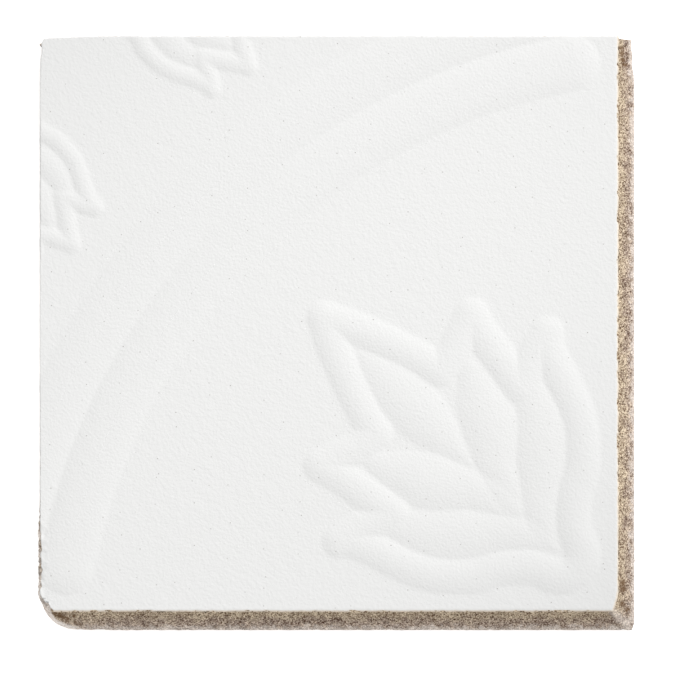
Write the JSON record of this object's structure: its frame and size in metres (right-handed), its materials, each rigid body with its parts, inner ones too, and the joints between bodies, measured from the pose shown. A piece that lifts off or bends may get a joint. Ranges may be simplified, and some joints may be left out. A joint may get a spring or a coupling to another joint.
{
  "type": "ceiling tile",
  "caption": "Square mineral fibre ceiling tile with a raised lotus and arc ornament, two edges sloped and one corner worn.",
  "frame": {"origin": "centre of the flat back, under the painted face", "axes": "+Z out of the painted face, +Y towards the edge that is up in the picture, +X to its right"},
  "size_m": [0.3, 0.3, 0.0159],
  "materials": {
    "ceiling_tile": "matt white spray paint on felted fibre board"
  },
  "bodies": {
    "root": {"ceiling_tile": "ceiling_tile"}
  },
  "joints": []
}
